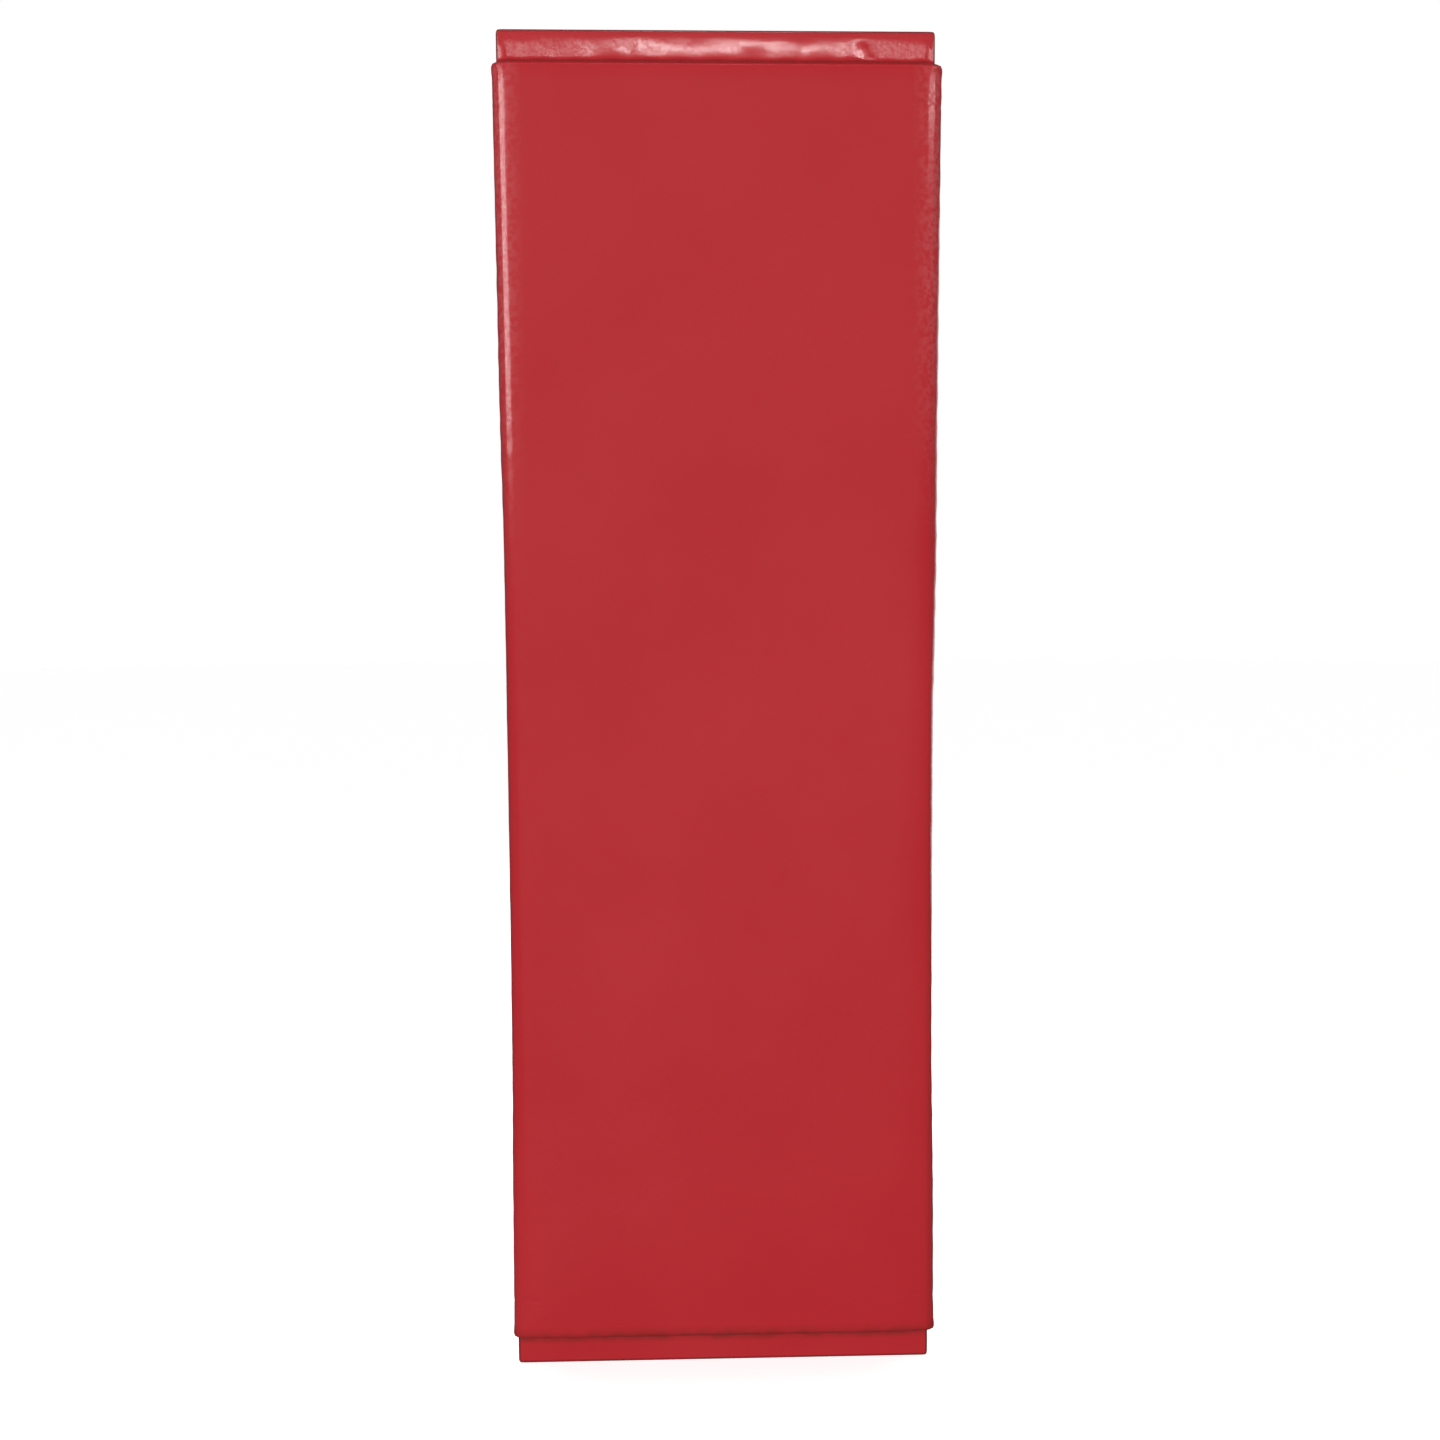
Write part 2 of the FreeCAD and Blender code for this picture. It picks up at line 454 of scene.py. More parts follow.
# %% Round corners, and the distance inside the outline
CORNER_AT_BOARD = 3.8 * MM
CORNER_AT_FACE = 7 * MM


def rounded_corners(x, z, radius, half_height):
    """Moves points of a square corner, seen from the front, onto round ones."""
    dx, dz = np.abs(x) - (HALF_WIDTH - radius), np.abs(z) - (half_height - radius)
    inside = (dx > 0) & (dz > 0)
    reach = np.hypot(dx, dz)
    keep = np.where(inside, np.maximum(dx, dz) / np.maximum(reach, 1e-9), 1)
    new_x = np.where(inside, np.sign(x) * (HALF_WIDTH - radius + dx * keep), x)
    new_z = np.where(inside, np.sign(z) * (half_height - radius + dz * keep), z)
    return new_x, new_z


def edge_distance(x, z, radius):
    """How far inside the pad's outline a point lies, and which way is out."""
    dx, dz = np.abs(x) - (HALF_WIDTH - radius), np.abs(z) - (CREASE - radius)
    corner = (dx > 0) & (dz > 0)
    reach = np.maximum(np.hypot(dx, dz), 1e-9)
    beside = dx > dz
    distance = np.where(corner, radius - reach, radius - np.maximum(dx, dz))
    out_x = np.where(corner, dx / reach, np.where(beside, 1, 0)) * np.sign(x)
    out_z = np.where(corner, dz / reach, np.where(beside, 0, 1)) * np.sign(z)
    return distance, out_x, out_z


print("corner radius:", round(CORNER_AT_BOARD / MM, 1), "mm at the board and",
      round(CORNER_AT_FACE / MM, 1), "mm at the face")

# %% Pull marks, puckers and a nick down the sides
PULL_PITCH = 50 * MM
NICK_OUT, NICK_OUT_WIDTH = 0.808, 0.0045
NICK_IN, NICK_IN_WIDTH = 0.799, 0.003


def side_waves(x, y, z, hand):
    """Shallow pull marks down the sides, and the small puckers of a stretched rim."""
    marks = np.sin(2 * np.pi * z / PULL_PITCH) * 0.25 + wander(x, y, z, 14, 11) * 0.35
    marks = marks * np.where(hand > 0, 0.9, 0.35)
    puckers = wander(x, y * 0.5, z, 55, 21) * np.where(hand > 0, 0.42, 0.14)
    rough = smooth(-z, 0.02, 0.12) * smooth(z, -0.62, -0.45)
    nick = hump(z - NICK_OUT, NICK_OUT_WIDTH) - 0.8 * hump(z - NICK_IN, NICK_IN_WIDTH)
    at_rim = smooth(np.abs(x) / HALF_WIDTH, 0.965, 0.995)
    nick = np.where(hand > 0, 1.9, 0.2) * nick * at_rim
    return (marks + puckers * (0.6 + rough) + nick) * MM


print("pull marks every", round(PULL_PITCH / MM), "mm")

# %% The rounded, slanted, crowned form
SIDE_RIM = 14 * MM
END_RIM = 2 * MM
FOOT_RIM = 9 * MM
CROWN, CROWN_REACH = 2.0 * MM, 60 * MM
SIDE_SWELL, SWELL_REACH = 4.9 * MM, 18 * MM
SIDE_PULL = 5 * MM
UNEVEN, UNEVEN_FINE = 0.35 * MM, 0.1 * MM

# The sides flare out towards the foot and the head, by the left hand (-1) and the right (1)
FLARE_LOW = {-1: 2.0 * MM, 1: 3.4 * MM}
FLARE_HIGH = {-1: 2.8 * MM, 1: 4.5 * MM}
FLARE_FROM, FLARE_FULL = {-1: 0.20, 1: -0.06}, {-1: 0.48, 1: 0.26}


def pad_shape(x, y, z):
    """The soft form of the padded part, for points in front of the lip's plane."""
    depth = (LIP_FRONT - y) / PAD_DEPTH
    radius = CORNER_AT_BOARD + (CORNER_AT_FACE - CORNER_AT_BOARD) * smooth(depth, 0.05, 0.7)
    x, z = rounded_corners(x, z, radius, CREASE)
    inset, out_x, out_z = edge_distance(x, z, radius)
    from_face = y - PAD_FRONT
    end_rim = np.where(z > 0, END_RIM, FOOT_RIM)
    rim = end_rim + (SIDE_RIM - end_rim) * out_x ** 2
    side, front = np.clip(rim - inset, 0, None), np.clip(rim - from_face, 0, None)
    reach = np.maximum(np.hypot(side, front), 1e-9)
    shrink = np.where((side > 0) & (front > 0), np.maximum(side, front) / reach, 1)
    x = x - out_x * side * (1 - shrink)
    z = z - out_z * side * (1 - shrink)
    y = y + front * (1 - shrink)
    depth = np.clip((LIP_FRONT - y) / PAD_DEPTH, 0, 1)
    along = np.clip(np.abs(z) / CREASE, 0, 1)
    hand = np.where(x > 0, 1, -1)
    low = np.where(hand > 0, FLARE_LOW[1], FLARE_LOW[-1]) * smooth(-z, 0.42, 0.72)
    high = np.where(hand > 0, FLARE_HIGH[1] * smooth(z, FLARE_FROM[1], FLARE_FULL[1]),
                    FLARE_HIGH[-1] * smooth(z, FLARE_FROM[-1], FLARE_FULL[-1]))
    belly = np.sin(np.pi * depth) ** 0.7
    near_side = smooth(np.abs(x) / HALF_WIDTH, 0.9, 1.0)
    waves = side_waves(x, y, z, hand) * belly * near_side * np.sign(x)
    wide = (low + high) * belly - SIDE_PULL * (1 - along ** 2) * depth
    x = x + wide * x / HALF_WIDTH + waves
    z = z - np.sign(z) * END_SLANT * depth * along
    y = y - CROWN * (1 - np.exp(-np.clip(inset - 10 * MM, 0, None) / CROWN_REACH))
    from_side = np.clip(HALF_WIDTH - np.abs(x) - 4 * MM, 0, None)
    y = y - SIDE_SWELL * (1 - np.exp(-from_side / SWELL_REACH)) * smooth(depth, 0.35, 1.0)
    on_face = smooth(inset, 10 * MM, 70 * MM)
    y = y + wander(x, x * 0, z, 7, 31) * UNEVEN * on_face
    y = y + wander(x, x * 0, z, 22, 41) * UNEVEN_FINE * on_face
    return x, y, z


print("rims:", round(SIDE_RIM / MM), "mm at the sides,", round(END_RIM / MM), "mm at the top and",
      round(FOOT_RIM / MM), "mm at the foot")

# %% [markdown]
# ## Creases, lips and the wrapped edge of the board
# Staples hold the sheet down along each crease. Between two staples it stands off the board a
# little, and beside the crease it makes a soft ramp up to the foam. The ramp is highest in the
# middle of the top lip, where the sheet is slack, and it has one sharp ridge where the slack
# has gathered.

# %% The rows of staples, read from the frame
def staple_places(node, axis, test):
    """The middles of a row of staples along one axis, read from the frame's own staples."""
    points = np.array([v.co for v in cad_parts[node].data.vertices])
    along = np.sort(points[test(points)][:, axis])
    groups = np.split(along, np.flatnonzero(np.diff(along) > 15 * MM) + 1)
    return np.array([(group[0] + group[-1]) / 2 for group in groups])


def between(run, places):
    """0 at a staple of a row and 1 midway between two."""
    nearest = np.abs(run[:, None] - places[None, :]).min(1)
    return np.sin(np.pi / 2 * np.clip(nearest / (np.diff(places).mean() / 2), 0, 1))


crease_row = staple_places("crease_staples", 0, lambda p: p[:, 2] > 0)
top_row = staple_places("back_staples", 0, lambda p: p[:, 2] > board_high[2] - 29 * MM)
side_row = staple_places("back_staples", 2, lambda p: p[:, 0] > board_high[0] - 29 * MM)
print("staples in a crease:", len(crease_row), "- along the top:", len(top_row),
      "- down a side:", len(side_row))

# %% The creases and lips
RAMP_REACH = 39 * MM
COVE_DEPTH = 15 * MM
COVE_OUT = 2.0 * MM
RIDGE_AT, RIDGE_LEAN, RIDGE_WIDTH, RIDGE_HEIGHT = 0.211, 0.35, 0.0055, 2.6 * MM

# How far the sheet stands off the board beside a crease, in millimetres
TOP_LIFT, TOP_LIFT_IN_MIDDLE, BOTTOM_LIFT = 6.8, 1.2, 2.4


def ramp_height(x, z):
    """How far the sheet stands off the board at the foot of the pad."""
    middle = smooth(x, -0.24, -0.13) * smooth(-x, -0.26, -0.19)
    top = TOP_LIFT + TOP_LIFT_IN_MIDDLE * middle + 0.5 * wander(x, x * 0, z * 0, 13, 3)
    bottom = BOTTOM_LIFT + 0.8 * wander(x, x * 0, z * 0, 18, 5)
    slack = np.where(z > 0, top, bottom) * MM
    return slack * (0.9 + 0.1 * between(x, crease_row) ** 0.8)


def lip_shape(x, y, z):
    """Points of the lip's front: the sheet rises from the board towards the crease."""
    inward = np.abs(z) - CREASE
    near = np.clip(1 - inward / RAMP_REACH, 0, 1)
    sides = smooth(HALF_WIDTH - np.abs(x), 1 * MM, 16 * MM)
    ridge = hump(x - RIDGE_AT + inward * RIDGE_LEAN, RIDGE_WIDTH)
    ridge = ridge * smooth(near, 0.1, 0.7) * RIDGE_HEIGHT
    lumps = wander(x, x * 0, z * 2.0, 22, 8) * 0.36 * MM * smooth(near, 0.0, 0.5)
    raised = ramp_height(x, z) * near ** 1.5 + np.where(z > 0, ridge + lumps, lumps * 0.4)
    return x, y - np.clip(raised, 0, None) * sides, z


def foot_shape(x, y, z):
    """Points of the pad's end walls: they start at the raised sheet and cove outwards."""
    sides = smooth(HALF_WIDTH - np.abs(x), 1 * MM, 16 * MM)
    rise = ramp_height(x, z) * sides
    deep = LIP_FRONT - y
    y = y - rise * (1 - deep / PAD_DEPTH)
    foot = np.clip(1 - deep / COVE_DEPTH, 0, 1) ** 2
    scallop = 0.3 + 0.7 * between(x, crease_row)
    return x, y, z + np.sign(z) * COVE_OUT * foot * scallop * sides


print("the sheet meets the board", round(RAMP_REACH / MM), "mm from the crease")

# %% Every point to its place on the soft form
x, y, z = (column.copy() for column in np.array([v.co for v in cover.data.vertices]).T)
eps = 0.05 * MM
on_pad = (y < LIP_FRONT - eps) & (np.abs(z) < CREASE + eps)
on_end = (y < LIP_FRONT + eps) & (np.abs(np.abs(z) - CREASE) < eps)
on_lip = (np.abs(y - LIP_FRONT) < eps) & (np.abs(z) > CREASE + eps)
on_back = np.abs(y - BACK) < eps
start = (x.copy(), y.copy(), z.copy())
for place, shape in ((on_end, foot_shape), (on_lip, lip_shape)):
    x[place], y[place], z[place] = shape(x[place], y[place], z[place])
px, py, pz = pad_shape(*(column[on_pad] for column in start))
x[on_pad] = px
y[on_pad] = py + (y[on_pad] - start[1][on_pad])
z[on_pad] = pz + (z[on_pad] - start[2][on_pad])
wrapped = ~on_pad
x[wrapped], z[wrapped] = rounded_corners(x[wrapped], z[wrapped], 4.2 * MM, HALF_HEIGHT)
print("pad front now at", round(y.min() / MM, 2), "mm")

# %% [markdown]
# ## The flaps on the back
# Behind, the sheet is folded over the edge of the board and stapled down. It lies flat under
# each staple and swells a little between them, and its cut edge is never quite straight.

# %% Swells between the back staples, and a wavy cut edge
SWELL = 0.9 * MM
STAPLE_IN, PRESSED = 28 * MM, 0.22 * MM
WAVER, WAVER_FINE = 2.2, 0.7

side_flap = on_back & (HALF_WIDTH - np.abs(x) < HALF_HEIGHT - np.abs(z))
run = np.where(side_flap, z, x)
into = np.where(side_flap, HALF_WIDTH - np.abs(x), HALF_HEIGHT - np.abs(z))
gap = np.where(side_flap, between(run, side_row), between(run, top_row))
swell = smooth(gap, 0.45, 1) * smooth(into, 2 * MM, 14 * MM)
pressed = PRESSED * (1 - smooth(gap, 0.3, 0.6)) * hump(into - STAPLE_IN, 9 * MM)
y[on_back] += (SWELL * swell * (1 + 0.5 * wander(x, y, z, 12, 51)) - pressed)[on_back]
cut_edge = on_back & (into > FLAP - 2 * MM)
waver = (wander(x, y, z, 9, 61) * WAVER + wander(x, y, z, 45, 71) * WAVER_FINE) * MM
x[cut_edge & side_flap] -= (np.sign(x) * waver)[cut_edge & side_flap]
z[cut_edge & ~side_flap] -= (np.sign(z) * waver)[cut_edge & ~side_flap]
cover.data.vertices.foreach_set("co", np.stack([x, y, z], 1).ravel())
cover.data.update()
print("back points:", int(on_back.sum()), "of them on the cut edge:", int(cut_edge.sum()))

# %% [markdown]
# ## Letting the cloth settle
# So far every bend was placed one by one. Blender's Cloth now lets the sheet find its own last
# few millimetres: the flaps, the board's edges and the stapled spots are held, air pressure
# stands for the foam that pushes from inside, gravity is off, and the cloth gets a little
# slack, so it swells between the staples and wrinkles where it is short of support. The foam
# grips the middle of the face, so the cloth is held more firmly there. How far a point may move
# is capped, so the sheet keeps its designed size.

# %% How firmly each point is held
HOLD_ON_LIP, HOLD_AT_RIM, HOLD_MORE_INSIDE, HOLD_IN_CREASE = 0.75, 0.58, 0.3, 0.5


def hold():
    """From 0 for a free point to 1 for a fixed one, by the points' places on the sharp block."""
    bx, by, bz = start
    at_staple = between(bx, crease_row) < 0.3
    at_crease = (np.abs(np.abs(bz) - CREASE) < 3 * MM) & (by > LIP_FRONT - 3 * MM)
    inside = np.minimum(HALF_WIDTH - np.abs(bx), CREASE - np.abs(bz))
    on_foam = HOLD_AT_RIM + HOLD_MORE_INSIDE * smooth(inside, 5 * MM, 60 * MM)
    held = np.where(on_lip, HOLD_ON_LIP, on_foam)
    held = np.where(by > LIP_FRONT + eps, 1.0, held)
    held = np.where(on_lip & (np.abs(bz) > HALF_HEIGHT - 3 * MM), 1.0, held)
    held = np.where(on_lip & (np.abs(bx) > HALF_WIDTH - 3 * MM), 1.0, held)
    held = np.where(at_crease, np.where(at_staple, 1.0, HOLD_IN_CREASE), held)
    return np.where((np.abs(bx) > HALF_WIDTH - eps) & (by > LIP_FRONT - 3 * MM), 1.0, held)


held = hold()
print("points held fast:", int((held == 1).sum()), "of", len(held))

# %% Cloth, pressure and a cap on the movement
SETTLE_FRAMES = 20
MOST_MOVE = 1.5 * MM
FOAM_PRESSURE = 4
SLACK = 0.003


def settle(piece):
    before = np.array([v.co for v in piece.data.vertices])
    group = piece.vertex_groups.new(name="held")
    for index in np.flatnonzero(held > 0):
        group.add([int(index)], float(held[index]), "REPLACE")
    cloth = piece.modifiers.new("Cloth", "CLOTH")
    settings = cloth.settings
    settings.quality = 5
    settings.mass = 0.4
    settings.tension_stiffness = settings.compression_stiffness = 30
    settings.shear_stiffness = 12
    settings.bending_stiffness = 2.5
    settings.vertex_group_mass = "held"
    settings.use_pressure = True
    settings.uniform_pressure_force = FOAM_PRESSURE
    settings.shrink_min = -SLACK
    settings.effector_weights.gravity = 0
    cloth.collision_settings.use_collision = False
    cloth.point_cache.frame_start, cloth.point_cache.frame_end = 1, SETTLE_FRAMES
    for frame_number in range(1, SETTLE_FRAMES + 1):
        bpy.context.scene.frame_set(frame_number)
    settled = piece.evaluated_get(bpy.context.evaluated_depsgraph_get()).data
    after = np.array([v.co for v in settled.vertices])
    piece.modifiers.remove(cloth)
    bpy.context.scene.frame_set(1)
    move = after - before
    length = np.maximum(np.linalg.norm(move, axis=1), 1e-9)
    move *= np.minimum(1, MOST_MOVE / length)[:, None]
    piece.data.vertices.foreach_set("co", (before + move).ravel())
    piece.data.update()
    print("cloth moved the sheet by", round(length.mean() / MM, 2), "mm on average, at most",
          round(length.max() / MM, 1), "mm before the cap")


settle(cover)

# %% [markdown]
# ## Seating the sheet on the foam
# The foam is the real support, so the sheet must never lie inside it. A Shrinkwrap modifier in
# its Outside mode pushes back any point that does, and leaves the others alone. Subdivision
# then rounds the grid, and Solidify gives the sheet its thickness, inwards, towards the foam.

# %% Shrinkwrap, subdivision and thickness
def finish_with(piece, kind, **settings):
    modifier = piece.modifiers.new(kind.title(), kind)
    for name, value in settings.items():
        setattr(modifier, name, value)
    bpy.context.view_layer.objects.active = piece
    bpy.ops.object.modifier_apply(modifier=modifier.name)


CREASE_FIRMNESS = 0.75

over_foam = cover.vertex_groups.new(name="over_foam")
over_foam.add(np.flatnonzero(start[1] < LIP_FRONT - 2 * MM).tolist(), 1, "REPLACE")
finish_with(cover, "SHRINKWRAP", target=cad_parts["foam_core"], vertex_group="over_foam",
            wrap_method="NEAREST_SURFACEPOINT", wrap_mode="OUTSIDE", offset=SHEET + 0.5 * MM)
firmness = cover.data.attributes.new("crease_edge", "FLOAT", "EDGE")
for edge in cover.data.edges:
    ends = list(edge.vertices)
    if (start[1][ends] < PAD_FRONT + eps).all() and (CREASE - np.abs(start[2][ends]) < eps).all():
        firmness.data[edge.index].value = CREASE_FIRMNESS
finish_with(cover, "SUBSURF", levels=1, render_levels=1)
finish_with(cover, "SOLIDIFY", thickness=SHEET, offset=-1, use_even_offset=True)
print("sheet:", len(cover.data.polygons), "faces")

# %% [markdown]
# ## Folded corners
# A flat sheet can't turn a corner without spare cloth. At each corner of the pad the spare
# cloth is laid against the side as a triangular pleat, tucked into the crease, and at each
# corner of the back one flap crosses the other along a diagonal. Each fold is a small grid
# that is squeezed to a triangle, laid on the sheet below it by a ray, and rounded at its
# free edge.

# %% One fold, laid on the sheet
FOLD_STEPS = 16
ROUNDED_FROM = 0.88
SUNK = 0.35 * MM


def fold(name, corners, ray_from, ray_along, lift):
    """A triangular fold between three corners; its free edge runs from the second to the third."""
    bpy.ops.object.select_all(action="DESELECT")
    bpy.ops.mesh.primitive_grid_add(x_subdivisions=FOLD_STEPS, y_subdivisions=FOLD_STEPS, size=1)
    piece = bpy.context.object
    piece.name = name
    first, free_start, free_end = (Vector(c) for c in corners)
    toward = Vector(ray_along)
    for point in piece.data.vertices:
        across, up = point.co.x + 0.5, point.co.y + 0.5
        flat = first + across * (1 - up) * (free_start - first) + up * (free_end - first)
        hit, spot, _, _ = cover.ray_cast(flat + Vector(ray_from), toward)
        ground = spot if hit else flat
        edge = min(1, max(0, (across - ROUNDED_FROM) / (1 - ROUNDED_FROM)))
        thick = lift(across, up, ground) * math.sqrt(max(0, 1 - edge ** 2)) - SUNK
        point.co = ground - toward * thick
    edit(piece)
    bpy.ops.mesh.select_all(action="SELECT")
    bpy.ops.mesh.remove_doubles(threshold=0.05 * MM)
    leave()
    finish_with(piece, "SUBSURF", levels=1, render_levels=1)
    facing = sum(face.normal.dot(-toward) * face.area for face in piece.data.polygons)
    if facing < 0:
        piece.data.flip_normals()
    finish_with(piece, "SOLIDIFY", thickness=SHEET, offset=-1)
    return piece


print("a fold starts as", FOLD_STEPS, "by", FOLD_STEPS, "squares")

# %% Pleats beside the pad, and mitres behind the board
# How far each pleat stands off the side and how tall it is, in millimetres, by hand and end
LOOSE = {(-1, -1): 1.4, (1, -1): 1.9, (-1, 1): 0.8, (1, 1): 1.0}
TALL = {(-1, -1): 58, (1, -1): 50, (-1, 1): 64, (1, 1): 70}

folds = []
for hand in (-1, 1):
    for end in (-1, 1):
        loose = LOOSE[(hand, end)]
        tall = TALL[(hand, end)] * MM
        foot = end * (CREASE - 0.6 * MM)
        side = HALF_WIDTH * hand
        folds.append(fold(
            "side_pleat", ((side, LIP_FRONT + 1.5 * MM, foot),
                           (side, PAD_FRONT + 9 * MM, foot - end * 16 * MM),
                           (side, LIP_FRONT + 1.5 * MM, foot - end * tall)),
            (hand * 0.05, 0, 0), (-hand, 0, 0),
            lambda across, up, spot, loose=loose: (
                0.7 + loose * (1 - up) ** 1.5 * (0.4 + 0.6 * across)) * MM))
        corner = (hand * (HALF_WIDTH - 3 * MM), 0, end * (HALF_HEIGHT - 3 * MM))
        inner_end = (hand * (HALF_WIDTH - FLAP), 0, end * (HALF_HEIGHT - FLAP))
        top_end = (hand * (HALF_WIDTH - FLAP), 0, corner[2])
        staple = Vector((hand * (board_high[0] - 27 * MM), 0, end * side_row[-1]))
        folds.append(fold(
            "back_mitre", (top_end, corner, inner_end), (0, 0.05, 0), (0, -1, 0),
            lambda across, up, spot, staple=staple: 0.3 * MM + 1.0 * MM * (
                1 - math.exp(-(((spot - staple) * Vector((1, 0, 1))).length / (9 * MM)) ** 2))
            * (0.35 + 0.65 * across)))
bpy.ops.object.select_all(action="DESELECT")
for piece in folds:
    piece.select_set(True)
cover.select_set(True)
bpy.context.view_layer.objects.active = cover
bpy.ops.object.join()
print("folds joined:", len(folds), "- cover now", len(cover.data.polygons), "faces")

# %% The cover's finish and its declarations
cover.data.materials.clear()
cover.data.materials.append(vinyl_finish)
for face in cover.data.polygons:
    face.material_index = 0
cover.data.polygons.foreach_set("use_smooth", [True] * len(cover.data.polygons))
print("cover:", len(cover.data.polygons), "faces, box", [round(v, 4) for v in (
    *np.array([v.co for v in cover.data.vertices]).min(0),
    *np.array([v.co for v in cover.data.vertices]).max(0))])
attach(cover, "root")
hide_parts("vinyl_cover")

# %% [markdown]
# ## The strand board
# Oriented strand board is pressed from flakes of wood, laid this way and that. Each flake has
# its own tone and a grain along its length. Six layers of stretched cells, each turned its own
# way, give the flakes, and fine noise stretched along each layer's own direction gives the grain.

# %% Strand board finish
UNDER_DARK, UNDER_PALE = (0.50, 0.31, 0.14, 1), (0.60, 0.40, 0.20, 1)
WOOD_TONES = (
    (0.10, (0.27, 0.135, 0.050)), (0.38, (0.47, 0.275, 0.115)),
    (0.65, (0.66, 0.44, 0.215)), (1.0, (0.80, 0.61, 0.35)))

# Each layer's turn in radians, and the width and length of its flakes in millimetres
FLAKE_LAYERS = (
    (0.25, 14, 95), (1.35, 17, 80), (0.8, 12, 110),
    (2.3, 16, 70), (-0.5, 13, 105), (0.1, 18, 85))
FIBRE = (0.9 * MM, 0.9 * MM, 40 * MM)


def strand_board():
    board = Finish("strand_board")
    color = board.mix(board.noise(7), UNDER_DARK, UNDER_PALE)
    height = board.noise(30)
    for turn, wide, long in FLAKE_LAYERS:
        size = (wide * MM, 40 * MM, long * MM)
        place = board.mapped(size, (0, turn, 0), (turn * 0.7, 0.02, turn * 0.4), "TEXTURE")
        flake = {"Vector": place, "Scale": 1.0, "Randomness": 0.95}
        to_edge = {"feature": "DISTANCE_TO_EDGE"}
        tone = board.node("ShaderNodeTexVoronoi", {}, flake, "Color")
        edge = board.node("ShaderNodeTexVoronoi", to_edge, flake, "Distance")
        chosen = board.node("ShaderNodeSeparateColor", {}, {"Color": tone}, "Red")
        shade = board.node("ShaderNodeSeparateColor", {}, {"Color": tone}, "Green")
        grain_place = board.mapped(FIBRE, turn=(0, turn, 0), kind="TEXTURE")
        fibre = board.noise(1, detail=4, place=grain_place)
        wood = board.ramp(shade * 0.72 + fibre * 0.34, WOOD_TONES)
        on_top = (chosen > 0.52) * board.spread(edge, 0.0, 0.05)
        color = board.mix(on_top, color, wood)
        height = board.node("ShaderNodeMix", {}, {0: on_top, 2: height, 3: chosen + fibre * 0.12})
    board.set(Base_Color=color, Roughness=board.spread(height, 0, 1, 0.62, 0.8),
              Normal=board.bump(height, 0.0006, 0.45))
    return board.data


def repaint(node, material):
    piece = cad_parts[node]
    piece.data.materials.clear()
    piece.data.materials.append(material)


repaint("backer_board", strand_board())
print("strand board:", len(FLAKE_LAYERS), "layers of flakes")

# %% [markdown]
# ## Foam and staples
# The foam is hidden, but it is there, so it gets the pale, porous look of cut foam. The staples
# are galvanised wire: bright, with fine drawing lines and a few dull patches.

# %% Foam finish and staple finish
def pad_foam():
    foam = Finish("pad_foam")
    pores = foam.node("ShaderNodeTexVoronoi", {}, {"Vector": foam.place, "Scale": 700}, "Distance")
    foam.set(Base_Color=foam.mix(foam.noise(12), (0.78, 0.72, 0.52, 1), (0.86, 0.82, 0.66, 1)),
             Roughness=0.95, Normal=foam.bump(pores, 0.0008, 0.6))
    return foam.data


def staple_steel():
    steel = Finish("staple_steel")
    dull = steel.noise(320, detail=3)
    drawn = steel.noise(1, place=steel.mapped((4000, 4000, 300)))
    steel.set(Base_Color=steel.mix(dull, (0.62, 0.62, 0.60, 1), (0.44, 0.44, 0.43, 1)),
              Metallic=1.0, Roughness=steel.spread(dull, 0.3, 0.7, 0.26, 0.5),
              Normal=steel.bump(drawn, 0.00005, 0.3))
    return steel.data


repaint("foam_core", pad_foam())
steel_finish = staple_steel()
for row in ("back_staples", "crease_staples"):
    repaint(row, steel_finish)
print("painted:", *(name for name in sorted(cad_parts) if name != "vinyl_cover"))

# %% [markdown]
# ## Floor and light
# The floor is pale and plain. It glows a little and blocks no light, so it stays white and the
# foot of the panel is as bright as its top. A broad light low in front gives the even red. Two
# soft boxes stand in front, left and right, and a strip and a small box hang above, because
# vinyl shows its shape by what it mirrors: the side boxes draw the bright lines down the rims,
# and those above draw the band on the top lip. Faint fills light the sides and the back.

# %% The floor
def floor_finish():
    floor = Finish("floor")
    floor.set(Base_Color=(0.9, 0.9, 0.9, 1), Roughness=0.75, Emission_Color=(1, 1, 1, 1),
              Emission_Strength=0.74, Normal=floor.bump(floor.noise(60, detail=4), 0.0005, 0.1))
    return floor.data


bpy.ops.object.select_all(action="DESELECT")
bpy.ops.mesh.primitive_circle_add(vertices=96, radius=30, fill_type="NGON",
                                  location=(0, 0, cad_low[2] - 0.5 * MM))
bpy.ops.object.transform_apply(location=True, rotation=False, scale=False)
floor = bpy.context.object
floor.name = "floor"
floor.data.materials.append(floor_finish())
floor.visible_glossy = False
floor.visible_diffuse = False
floor.visible_shadow = False
floor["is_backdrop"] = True
print("floor at", round(floor.data.vertices[0].co.z, 4), "m")

# %% Lamps
def lamp(name, at, towards, size, strength, kind="AREA"):
    """A lamp at one point facing another. Strength is a box's brightness, or a sun's power."""
    bpy.ops.object.light_add(type=kind, location=at)
    light = bpy.context.object
    light.name = name
    light.visible_camera = False
    light.rotation_mode = "QUATERNION"
    light.rotation_quaternion = (Vector(towards) - Vector(at)).to_track_quat("-Z", "Y")
    if kind == "AREA":
        light.data.shape, light.data.size, light.data.size_y = "RECTANGLE", *size
        light.data.energy = strength * math.pi * size[0] * size[1]
    else:
        light.data.angle = size
        light.data.energy = strength
    return light


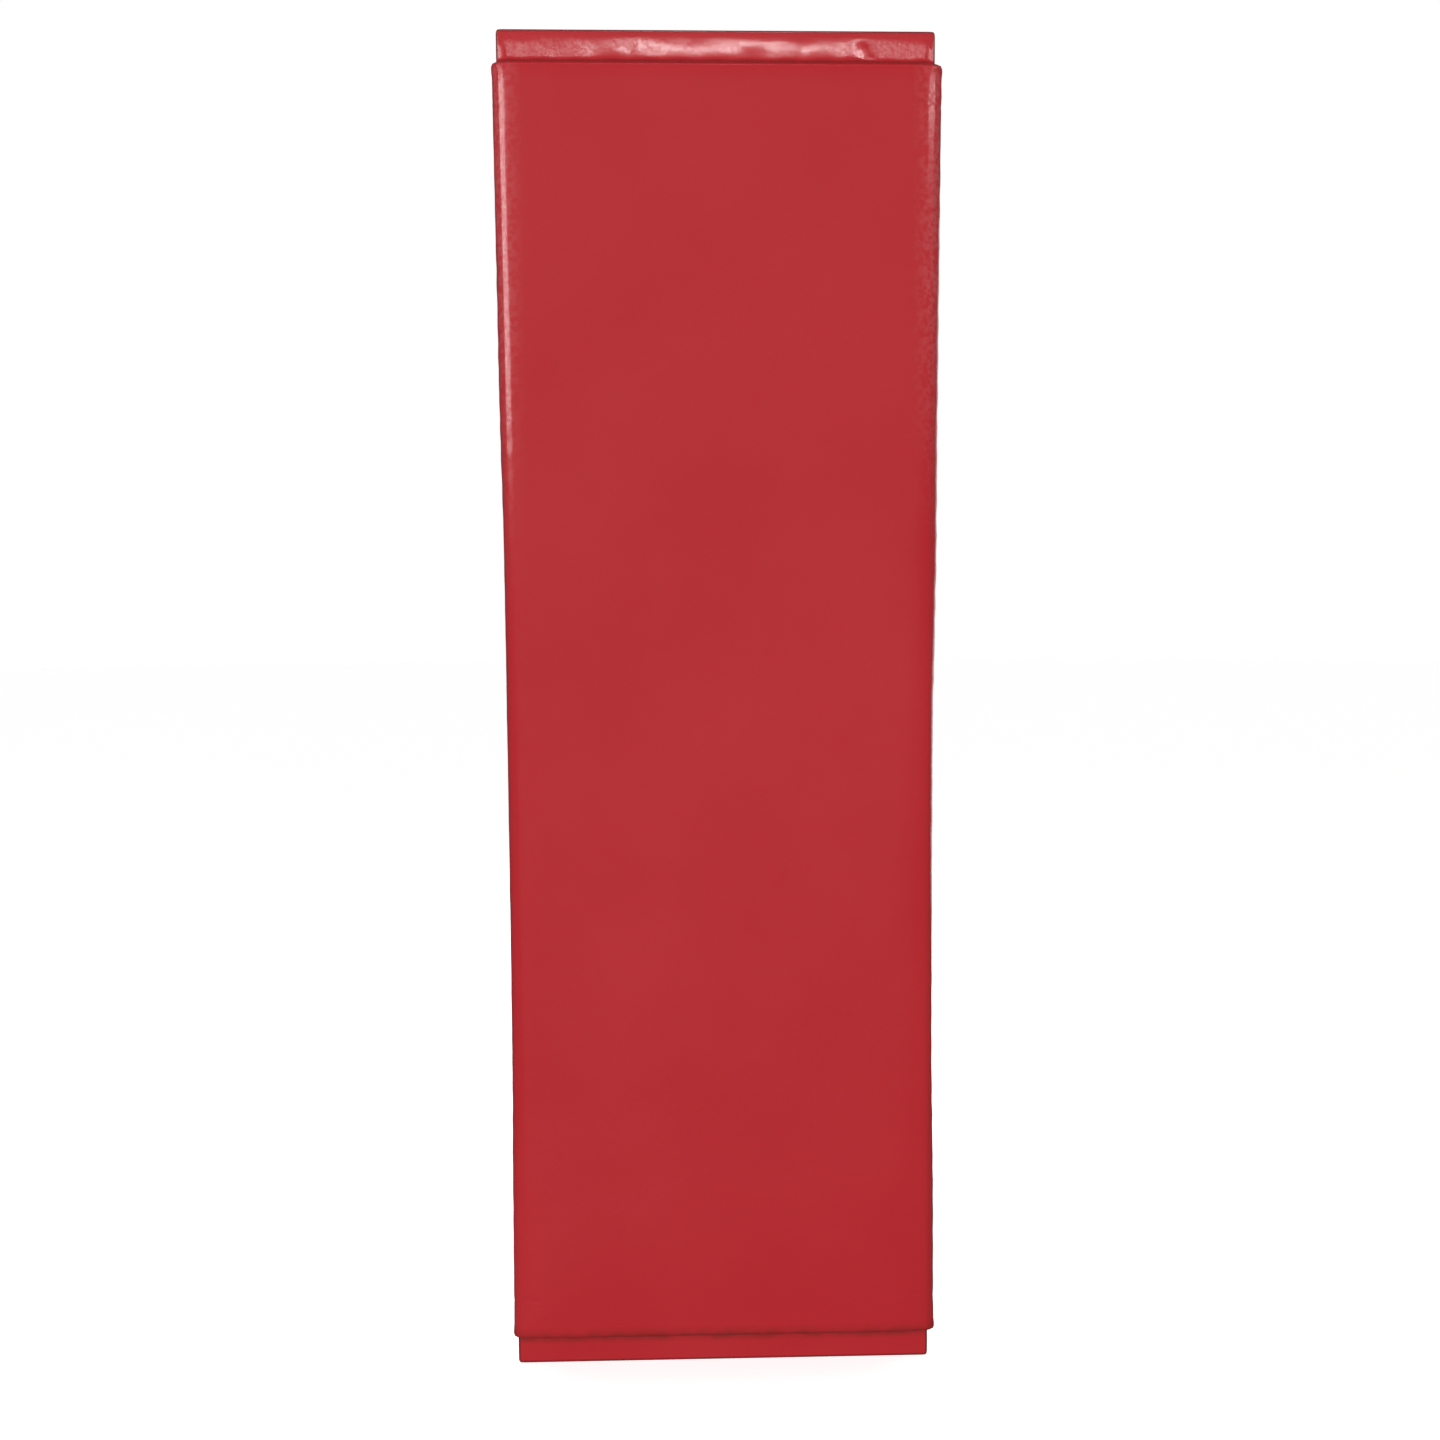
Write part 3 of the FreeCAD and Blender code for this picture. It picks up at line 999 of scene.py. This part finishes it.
front = lamp("front_fill", (-0.4, -3, 0.35), (0, 0, 0), math.radians(55), 3.05, "SUN")
front.visible_glossy = False
boxes = (
    lamp("left_box", (-1.78, -1.38, 1.22), (-0.3, 0, 0.7), (1.3, 1.25), 9.5),
    lamp("right_box", (2.3, -1.65, 1.95), (0.3, 0, 0.85), (1.9, 0.8), 6.5),
    lamp("top_strip", (0.1, -1.75, 2.42), (0, 0, 0.94), (2.4, 0.42), 4.0),
    lamp("top_box", (0.06, -1.66, 2.38), (0, 0, 0.94), (0.55, 0.20), 19.0))
for box in boxes:
    box.visible_diffuse = False
fills = (
    lamp("side_fill_left", (-3.2, 0.5, 1.0), (0, 0, 0), (1.5, 2.0), 1.9),
    lamp("side_fill_right", (3.2, 0.5, 1.0), (0, 0, 0), (1.5, 2.0), 1.9),
    lamp("back_fill", (-1.2, 3.4, 2.4), (0, 0, 0), (2.0, 2.0), 6.5))
lamp("back_box", (2.6, 2.6, 0.3), (0, 0, 0), (2.4, 2.4), 1.4)
for fill in fills:
    fill.visible_glossy = False

# %% [markdown]
# ## The world behind the panel
# The Light Path node tells what kind of ray is asking. The camera's own rays see pure white.
# Mirrored rays see a faint grey, so the vinyl's shine comes from the boxes, and all other rays
# see a soft fill that keeps the shaded edges from going black.

# %% The world
SOFT, MIRRORED = 0.14, 0.08

world = bpy.data.worlds.new("studio")
bpy.context.scene.world = world
world.use_nodes = True
sky = world.node_tree
shown = sky.nodes["Background"]
rays = sky.nodes.new("ShaderNodeLightPath")
both = sky.nodes.new("ShaderNodeMixShader")
glow = sky.nodes.new("ShaderNodeMixShader")
soft, mirrored = (sky.nodes.new("ShaderNodeBackground") for _ in range(2))
for part, strength in ((shown, 1.0), (soft, SOFT), (mirrored, MIRRORED)):
    part.inputs["Color"].default_value = (1, 1, 1, 1)
    part.inputs["Strength"].default_value = strength
links = (
    (rays.outputs["Is Glossy Ray"], glow.inputs[0]),
    (soft.outputs[0], glow.inputs[1]),
    (mirrored.outputs[0], glow.inputs[2]),
    (rays.outputs["Is Camera Ray"], both.inputs[0]),
    (glow.outputs[0], both.inputs[1]),
    (shown.outputs[0], both.inputs[2]),
    (both.outputs[0], sky.nodes["World Output"].inputs["Surface"]))
for out, into in links:
    sky.links.new(out, into)
bpy.context.scene.view_settings.view_transform = "Standard"
print("world strengths: 1 to the camera,", MIRRORED, "in mirrors,", SOFT, "elsewhere")

# %% [markdown]
# ## The finished box
# The finished model's box is printed, in the same form as the frame's box at the start.

# %% Sizes and the end
low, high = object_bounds()
print("visual box:", [round(v, 4) for v in (*low, *high)])
